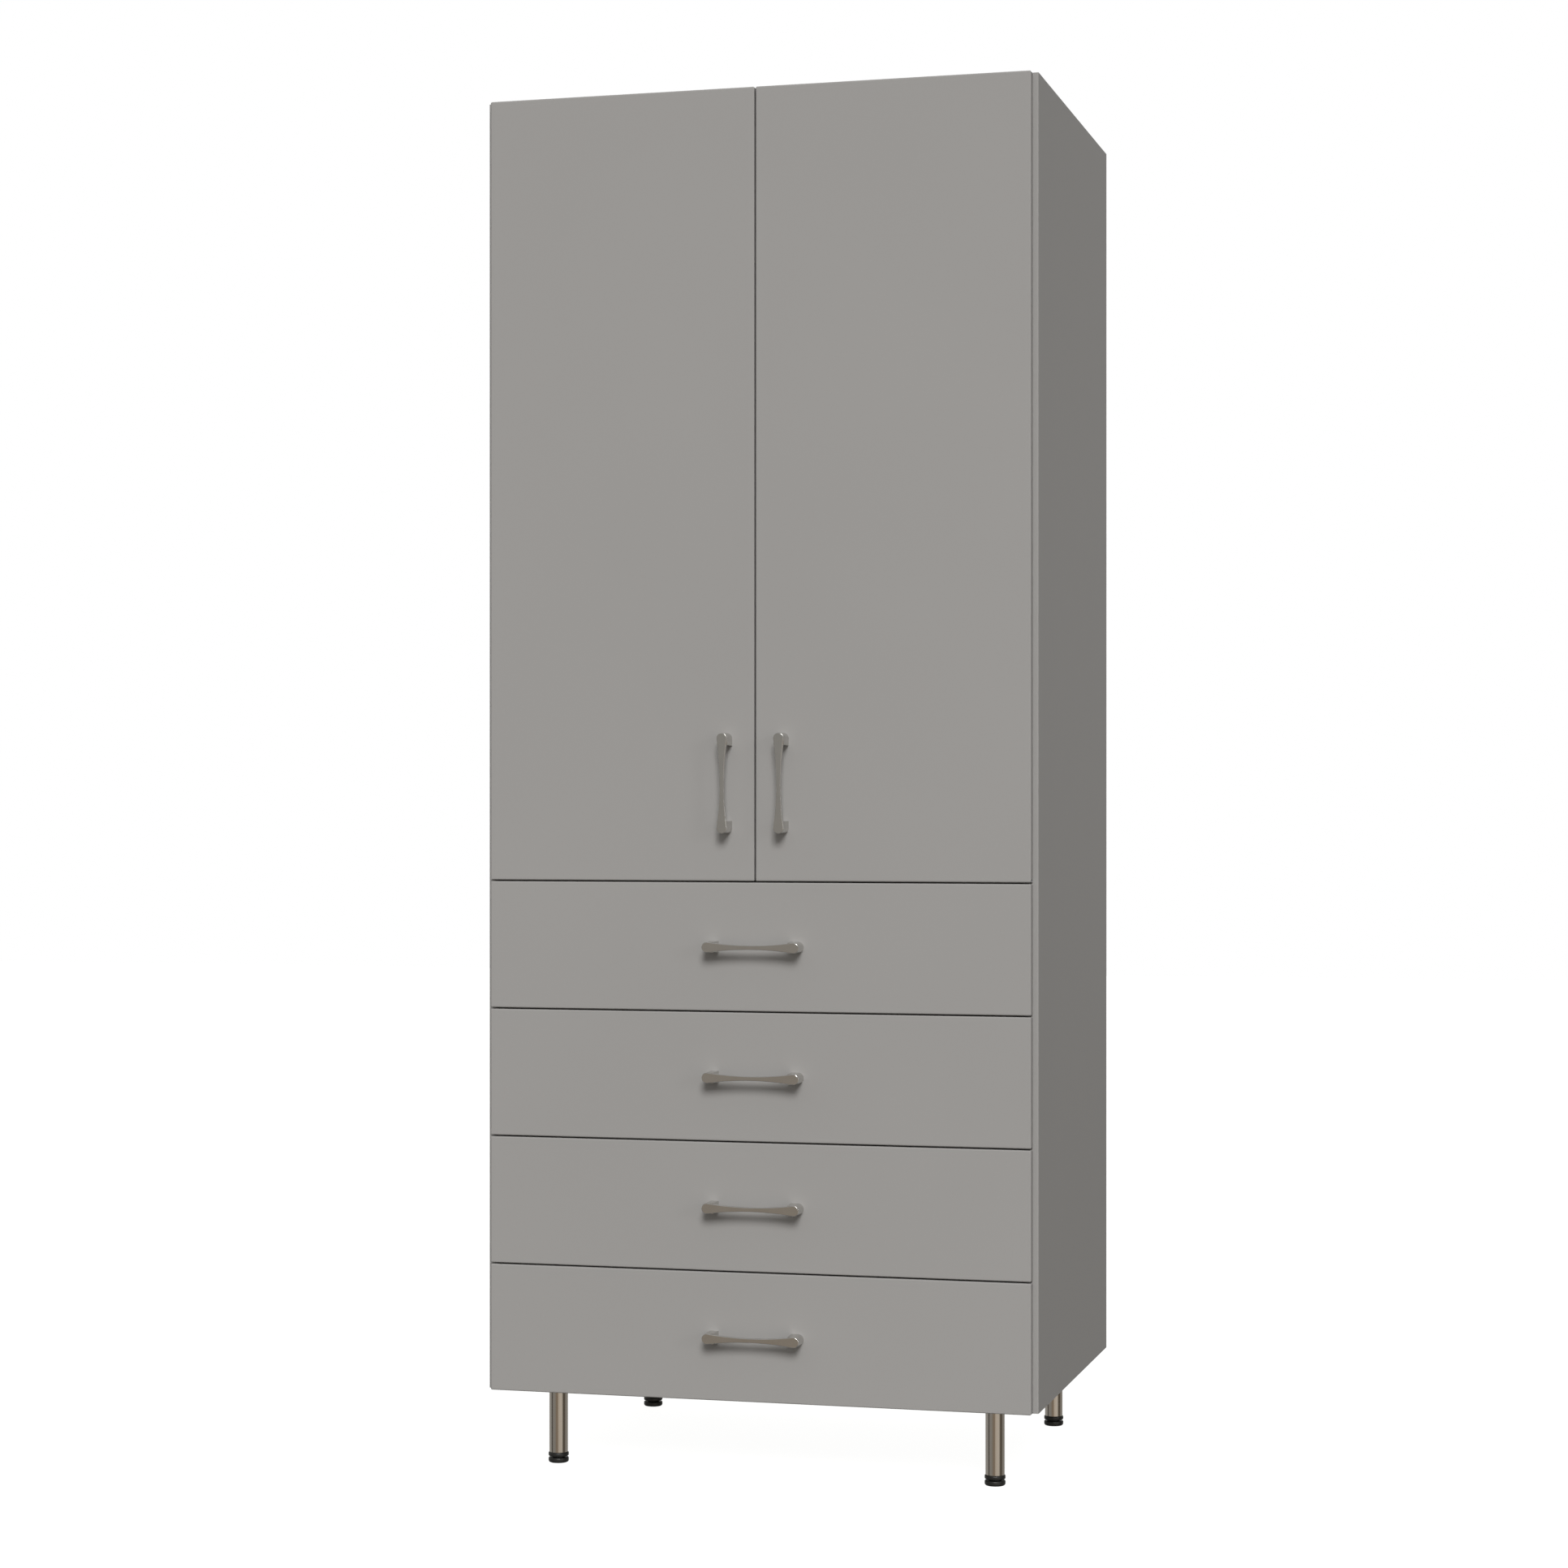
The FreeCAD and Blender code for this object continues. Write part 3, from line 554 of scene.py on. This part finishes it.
def swept(shape, vert, centre, angle, steps):
    """Sweeps a vertex round a centre in the XZ plane and returns the arc's far end."""
    made = bmesh.ops.spin(shape, geom=[vert], cent=centre, axis=BACKWARDS,
                          angle=angle, steps=steps)
    return next(item for item in made["geom_last"] if isinstance(item, bmesh.types.BMVert))


def strap_outline(length_over_all, settings):
    """Closed outline of the strap: two round ends and two hollow sides."""
    end = settings.end_width / 2
    waist = settings.waist / 2
    centre = length_over_all / 2 - end
    hollow = (centre ** 2 + waist ** 2 - end ** 2) / (2 * (end - waist))
    meet = Vector((end * (waist + hollow) / (hollow + end), 0, centre * hollow / (hollow + end)))
    shape = bmesh.new()
    tip = shape.verts.new((0, 0, centre + end))
    round_turn = math.atan2(meet.x, meet.z - centre)
    join = swept(shape, tip, Vector((0, 0, centre)), round_turn, settings.arc_steps)
    hollow_turn = math.atan2(meet.z, waist + hollow - meet.x)
    swept(shape, join, Vector((waist + hollow, 0, 0)), -hollow_turn, settings.arc_steps)
    for axis in ("Z", "X"):
        bmesh.ops.mirror(shape, geom=shape.verts[:] + shape.edges[:], merge_dist=MERGE, axis=axis)
    bmesh.ops.remove_doubles(shape, verts=shape.verts, dist=MERGE)
    return shape


def post_outline(shape, y, half, centre, inner, steps):
    """Outline of a post at one depth: round at its outer end and square at its inner end."""
    start = shape.verts.new((half, y, centre))
    stop = swept(shape, start, Vector((0, y, centre)), -math.pi, steps)
    left = shape.verts.new((-half, y, inner))
    right = shape.verts.new((half, y, inner))
    for pair in ((stop, left), (left, right), (right, start)):
        shape.edges.new(pair)


def post(length_over_all, stand, settings):
    """Post between the strap and the front; its square end has softened corners."""
    end = settings.end_width / 2
    centre = length_over_all / 2 - end
    seat = settings.back_edge - stand + settings.thickness / 2
    shape = bmesh.new()
    for y, grow in ((seat, -settings.post_step), (0.0, settings.post_draft - settings.post_step)):
        inner = centre + end - settings.post_length - grow
        post_outline(shape, y, end + grow, centre, inner, 2 * settings.arc_steps)
    outlines = shape.edges[:]
    bmesh.ops.bridge_loops(shape, edges=outlines)
    bmesh.ops.holes_fill(shape, edges=shape.edges[:], sides=0)
    bmesh.ops.recalc_face_normals(shape, faces=shape.faces)
    square = [edge for edge in corner_edges(shape, 1.0)
              if abs(edge.verts[0].co.y - edge.verts[1].co.y) > settings.thickness]
    round_off(shape, square, settings.edge / 2, 3)
    return shape


def handle(length_over_all, stand, settings):
    """Upright bar handle about its own middle; its feet stand on the plane y = 0."""
    shape = strap_outline(length_over_all, settings)
    bmesh.ops.contextual_create(shape, geom=shape.edges[:])
    grown = bmesh.ops.extrude_face_region(shape, geom=shape.faces[:])
    moved = [item for item in grown["geom"] if isinstance(item, bmesh.types.BMVert)]
    bmesh.ops.translate(shape, vec=Vector((0, settings.thickness, 0)), verts=moved)
    bmesh.ops.translate(shape, vec=Vector((0, -stand, 0)), verts=shape.verts)
    bmesh.ops.recalc_face_normals(shape, faces=shape.faces)
    back = settings.thickness / 2 - stand
    for behind, radius, steps in ((False, settings.edge, 4), (True, settings.back_edge, 2)):
        rim = [edge for edge in corner_edges(shape, 1.2)
               if all((vert.co.y > back) == behind for vert in edge.verts)]
        round_off(shape, rim, radius, steps)
    upper = post(length_over_all, stand, settings)
    mesh = bpy.data.meshes.new("post")
    upper.to_mesh(mesh)
    upper.free()
    shape.from_mesh(mesh)
    mesh.transform(Matrix.Scale(-1, 4, UP))
    shape.from_mesh(mesh)
    bpy.data.meshes.remove(mesh)
    bmesh.ops.recalc_face_normals(shape, faces=shape.faces)
    return shape


class CABINET_OT_handles(bpy.types.Operator):
    """Shapes the waisted bar handles of the doors and drawers"""

    bl_idname = "cabinet.handles"
    bl_label = "Handles"

    def execute(self, context):
        settings = context.scene.cabinet.handles
        bodies = [side + "_door" for side in SIDES] + ["drawer_%d" % number for number in DRAWERS]
        for body in bodies:
            low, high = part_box(body + "_handle")
            upright = high.z - low.z > high.x - low.x
            over_all = max(high.z - low.z, high.x - low.x)
            over_all -= 2 * (settings.post_draft - settings.post_step)
            shape = handle(over_all, high.y - low.y, settings)
            if not upright:
                turn = Matrix.Rotation(math.pi / 2, 3, "Y")
                bmesh.ops.rotate(shape, cent=Vector(), matrix=turn, verts=shape.verts)
            middle = Vector(((low.x + high.x) / 2, high.y, (low.z + high.z) / 2))
            bmesh.ops.translate(shape, vec=middle, verts=shape.verts)
            pull = piece(body + "_pull", shape, "handle_nickel", body, [body + "_handle"], crease=50.0)
            flatten(pull)
        return {"FINISHED"}


# ---- Legs and feet ----

def leg_axis(corner):
    """Middle of a leg, on the floor."""
    low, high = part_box("foot_" + corner)
    return Vector(((low.x + high.x) / 2, (low.y + high.y) / 2, 0))


def weld_bead(axis, radius, top, settings):
    """Rippled fillet weld between a leg's tube and its plate."""
    root = settings.weld_root
    outline = [(radius - root, top, 0), (radius + settings.weld, top, 0),
               (radius - root, top - settings.weld - root, 0)]
    bead = lathe(outline, axis, settings.weld_ripples * 4, closed=True)
    for vert in bead.verts:
        arm = Vector((vert.co.x - axis.x, vert.co.y - axis.y, 0))
        wave = math.sin(settings.weld_ripples * math.atan2(arm.y, arm.x))
        if arm.length > radius:
            vert.co += arm.normalized() * settings.weld_ripple * wave
    return bead


class CABINET_OT_legs(bpy.types.Operator):
    """Turns the leg tubes, with their welds, and the collars at their lower ends"""

    bl_idname = "cabinet.legs"
    bl_label = "Legs"

    def execute(self, context):
        settings = context.scene.cabinet.legs
        tubes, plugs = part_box("leg_tubes"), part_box("leg_end_plugs")
        foot_radius = (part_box("foot_front_left")[1].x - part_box("foot_front_left")[0].x) / 2
        outer = tubes[1].x - leg_axis("front_right").x
        bore = outer - settings.wall
        edge = settings.tube_edge
        for corner in CORNERS:
            axis = leg_axis(corner)
            low, high = tubes[0].z, tubes[1].z
            wall = [(bore, low, edge), (outer, low, edge), (outer, high, 0), (bore, high, 0)]
            tube = lathe(wall, axis, settings.around, closed=True)
            piece("leg_tube_" + corner, tube, "leg_steel", "cabinet", ["leg_tubes"])
            bead = weld_bead(axis, outer, high, settings)
            piece("leg_weld_" + corner, bead, "leg_steel", "cabinet", ["leg_tubes"], crease=70.0)

            bottom, top = plugs[0].z, plugs[0].z + settings.collar
            spigot = bore - settings.play
            ring = settings.ring_edge
            outline = [(settings.stem_bore, bottom, edge), (foot_radius, bottom, ring),
                       (foot_radius, top, ring), (spigot, top, 0), (spigot, plugs[1].z, edge),
                       (settings.stem_bore, plugs[1].z, edge)]
            collar = lathe(outline, axis, settings.around, closed=True)
            piece("leg_collar_" + corner, collar, "black_plastic", "cabinet", ["leg_end_plugs"])
        finish_nodes("zinc_plate", ["leg_plates", "leg_screws"])
        return {"FINISHED"}


def foot_outline(radius, top, settings):
    """Half section of a levelling foot: recess, ring, neck and threaded stem."""
    lip = radius - settings.ring_bottom - 2 * settings.recess
    neck_top = settings.ring + settings.neck_height
    outline = [(0, settings.recess, 0), (lip - settings.recess, settings.recess, 0),
               (lip, 0, settings.recess / 2), (radius, 0, settings.ring_bottom),
               (radius, settings.ring, settings.ring_edge), (settings.neck, settings.ring, 0),
               (settings.neck, neck_top, settings.recess / 2)]
    root = settings.stem - settings.thread_depth
    height = neck_top
    outline.append((root, height, 0))
    while height + settings.thread_pitch < top:
        outline.append((settings.stem, height + settings.thread_pitch / 2, 0))
        height += settings.thread_pitch
        outline.append((root, height, 0))
    outline += [(root, top, 0), (0, top, 0)]
    return outline


class CABINET_OT_feet(bpy.types.Operator):
    """Turns the black levelling feet with their threaded stems"""

    bl_idname = "cabinet.feet"
    bl_label = "Levelling Feet"

    def execute(self, context):
        settings = context.scene.cabinet.legs
        for corner in CORNERS:
            low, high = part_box("foot_" + corner)
            outline = foot_outline((high.x - low.x) / 2, high.z, settings)
            shape = lathe(outline, leg_axis(corner), settings.around)
            piece("levelling_foot_" + corner, shape, "black_plastic", "foot_" + corner,
                  ["foot_" + corner])
        return {"FINISHED"}


# ---- Pieces that keep their shape from the frame ----

class CABINET_OT_body(bpy.types.Operator):
    """Finishes the folded sheets of the body"""

    bl_idname = "cabinet.body"
    bl_label = "Body Sheets"

    def execute(self, context):
        sheets = ["side_panel_left", "side_panel_right", "top_panel", "bottom_panel", "back_panel"]
        finish_nodes("body_paint", sheets + ["cupboard_floor", "drawer_rails", "slide_uprights"])
        return {"FINISHED"}


class CABINET_OT_shelves(bpy.types.Operator):
    """Finishes the shelves, their slotted uprights and clips"""

    bl_idname = "cabinet.shelves"
    bl_label = "Shelves"

    def execute(self, context):
        shelves = ["shelf_lower", "shelf_middle", "shelf_upper"]
        finish_nodes("body_paint", shelves + ["shelf_uprights"])
        finish_nodes("zinc_plate", ["shelf_clips"])
        return {"FINISHED"}


class CABINET_OT_drawers(bpy.types.Operator):
    """Finishes the drawer boxes and their ball slides"""

    bl_idname = "cabinet.drawers"
    bl_label = "Drawer Boxes and Slides"

    def execute(self, context):
        finish_nodes("zinc_plate", ["slide_channels"])
        for number in DRAWERS:
            drawer = "drawer_%d" % number
            finish_nodes("body_paint", [drawer + "_box"])
            moving = ["_slide_middle", "_slide_inner", "_handle_screws"]
            finish_nodes("zinc_plate", [drawer + ending for ending in moving])
        return {"FINISHED"}


class CABINET_OT_fittings(bpy.types.Operator):
    """Finishes the pivots, bumpers and door catch"""

    bl_idname = "cabinet.fittings"
    bl_label = "Small Fittings"

    def execute(self, context):
        finish_nodes("zinc_plate", ["pivot_brackets", "pivot_pins"])
        finish_nodes("bumper_rubber", ["bumpers"])
        finish_nodes("black_plastic", ["door_catch"])
        return {"FINISHED"}


# ---- Stage ----

def stage_floor(settings):
    """Plain floor that the camera sees, and that neither lights the cabinet nor shows in its gloss."""
    shape = bmesh.new()
    bmesh.ops.create_grid(shape, x_segments=1, y_segments=1, size=settings.floor_reach)
    mesh = bpy.data.meshes.new("floor")
    shape.to_mesh(mesh)
    shape.free()
    cover = Shader("floor")
    cover.set(base_color=tint(settings.floor, settings.floor_shade), roughness=0.9,
              specular_ior_level=0.0, emission_color=tint(settings.floor, 1.0),
              emission_strength=settings.floor_glow)
    mesh.materials.append(cover.material)
    floor = bpy.data.objects.new("floor", mesh)
    floor.visible_diffuse = False
    floor.visible_glossy = False
    bpy.context.scene.collection.objects.link(floor)


def stage_light(name, strength, spread, towards):
    """Soft light from far away, in a direction from the cabinet."""
    light = bpy.data.lights.new(name, "SUN")
    light.energy = strength
    light.angle = spread
    lamp = bpy.data.objects.new(name, light)
    lamp.rotation_euler = Vector(towards).to_track_quat("Z", "Y").to_euler()
    bpy.context.scene.collection.objects.link(lamp)


# Where the two lights stand, seen from the cabinet: right, back, up
KEY_FROM = (0.24, -0.80, 0.53)
EDGE_FROM = (0.85, -0.50, 0.22)

# Light round the room above and below the horizon, by the angle to the right of straight ahead
WALLS = ((-180, (1.90, 1.88, 1.85)), (-158, (1.60, 1.58, 1.55)), (-145, (0.50, 0.50, 0.48)),
         (-66, (0.50, 0.50, 0.48)), (-50, (0.32, 0.32, 0.31)), (8, (0.38, 0.375, 0.36)),
         (18, (0.44, 0.43, 0.41)), (62, (0.44, 0.43, 0.41)), (74, (0.10, 0.10, 0.095)),
         (148, (0.10, 0.10, 0.095)), (164, (0.95, 0.94, 0.92)), (180, (1.90, 1.88, 1.85)))
FLOOR_BAND = ((-180, (0.46, 0.45, 0.43)), (-82, (0.46, 0.45, 0.43)), (-76, (0.09, 0.085, 0.075)),
              (-66, (0.10, 0.09, 0.08)), (-56, (0.38, 0.37, 0.35)), (-24, (0.37, 0.35, 0.32)),
              (-14, (0.33, 0.27, 0.21)), (8, (0.36, 0.29, 0.22)), (18, (0.74, 0.66, 0.57)),
              (58, (0.80, 0.74, 0.66)), (76, (0.15, 0.13, 0.10)), (98, (0.12, 0.10, 0.08)),
              (112, (0.36, 0.34, 0.31)), (180, (0.46, 0.45, 0.43)))


def faded(height, fade):
    """0 where a fade starts and 1 where it ends."""
    start, stop = fade
    return ((height - start) / (stop - start)).clamped()


# Heights, as sines above the horizon, where one part of the room starts and ends its fade to the next
WALL_FADE = (-0.06, -0.01)
CEILING_FADE = (0.35, 0.8045)
GROUND_FADE = (-0.30, -0.55)


def stage_room(settings):
    """Studio with soft panels round the walls and a bright ceiling; the camera alone sees white."""
    room = bpy.data.worlds.new("room")
    room.use_nodes = True
    bpy.context.scene.world = room
    nodes = Nodes(room.node_tree)
    place = nodes.node("ShaderNodeTexCoord", output="Generated")
    x, y, z = (nodes.node("ShaderNodeSeparateXYZ", {}, [place], output=axis) for axis in range(3))
    around = x.math("ARCTAN2", x, y * -1.0) / FULL_TURN + 0.5
    walls, band = (nodes.ramp(around, [(angle / 360 + 0.5, Vector(shade) * settings.room)
                                       for angle, shade in stops]) for stops in (WALLS, FLOOR_BAND))
    ceiling = tint((settings.overhead,) * 3, 1.0)
    ground = tint((settings.below,) * 3, 1.0)
    sides = nodes.mix(faded(z, WALL_FADE), band, walls)
    upper = nodes.mix(faded(z, CEILING_FADE), sides, ceiling)
    lower = nodes.mix(faded(z, GROUND_FADE), upper, ground)
    camera_sees = nodes.node("ShaderNodeLightPath", output="Is Camera Ray")
    light = nodes.mix(camera_sees, lower, tint((1.0, 1.0, 1.0), 1.0))
    sky = next(n for n in nodes.tree.nodes if n.type == "BACKGROUND")
    nodes.tree.links.new(light.socket, sky.inputs["Color"])


def stage_camera(settings, front):
    view = bpy.data.cameras.new("camera")
    view.lens = settings.lens
    view.shift_y = settings.rise
    camera = bpy.data.objects.new("camera", view)
    camera.location = (settings.aside, front - settings.distance, settings.eye)
    camera.rotation_euler = (math.pi / 2, 0.0, settings.turn)
    bpy.context.scene.collection.objects.link(camera)
    bpy.context.scene.camera = camera


class CABINET_OT_stage(bpy.types.Operator):
    """Sets up the floor, the studio light and the camera"""

    bl_idname = "cabinet.stage"
    bl_label = "Stage"

    def execute(self, context):
        settings = context.scene.cabinet.stage
        stage_floor(settings)
        stage_light("key", settings.sun, settings.sun_spread, KEY_FROM)
        stage_light("edge", settings.edge, settings.edge_spread, EDGE_FROM)
        stage_room(settings)
        stage_camera(settings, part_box("side_panel_right")[0].y)
        context.scene.view_settings.view_transform = "Standard"
        return {"FINISHED"}


# ---- Panel and registration ----

OPERATORS = (CABINET_OT_body, CABINET_OT_doors, CABINET_OT_drawer_fronts, CABINET_OT_handles,
             CABINET_OT_drawers, CABINET_OT_shelves, CABINET_OT_fittings, CABINET_OT_legs,
             CABINET_OT_feet, CABINET_OT_stage)


class CABINET_PT_pieces(bpy.types.Panel):
    """Lists the cabinet's pieces and their settings"""

    bl_idname = "CABINET_PT_pieces"
    bl_label = "Steel Cabinet"
    bl_space_type = "VIEW_3D"
    bl_region_type = "UI"
    bl_category = "Cabinet"

    def draw(self, context):
        for operator in OPERATORS:
            self.layout.operator(operator.bl_idname)
        settings = context.scene.cabinet
        for group in (settings.fronts, settings.handles, settings.legs, settings.finishes, settings.stage):
            column = self.layout.box().column(align=True)
            for key in group.__annotations__:
                column.prop(group, key)


CLASSES = (CabinetFrontSettings, CabinetHandleSettings, CabinetLegSettings, CabinetFinishSettings,
           CabinetStageSettings, CabinetSettings, *OPERATORS, CABINET_PT_pieces)


def register():
    for item in CLASSES:
        bpy.utils.register_class(item)
    bpy.types.Scene.cabinet = PointerProperty(type=CabinetSettings)


def unregister():
    del bpy.types.Scene.cabinet
    for item in reversed(CLASSES):
        bpy.utils.unregister_class(item)


def main():
    register()
    bpy.ops.cabinet.body()
    bpy.ops.cabinet.doors()
    bpy.ops.cabinet.drawer_fronts()
    bpy.ops.cabinet.handles()
    bpy.ops.cabinet.drawers()
    bpy.ops.cabinet.shelves()
    bpy.ops.cabinet.fittings()
    bpy.ops.cabinet.legs()
    bpy.ops.cabinet.feet()
    bpy.ops.cabinet.stage()


if __name__ == "__main__":
    main()
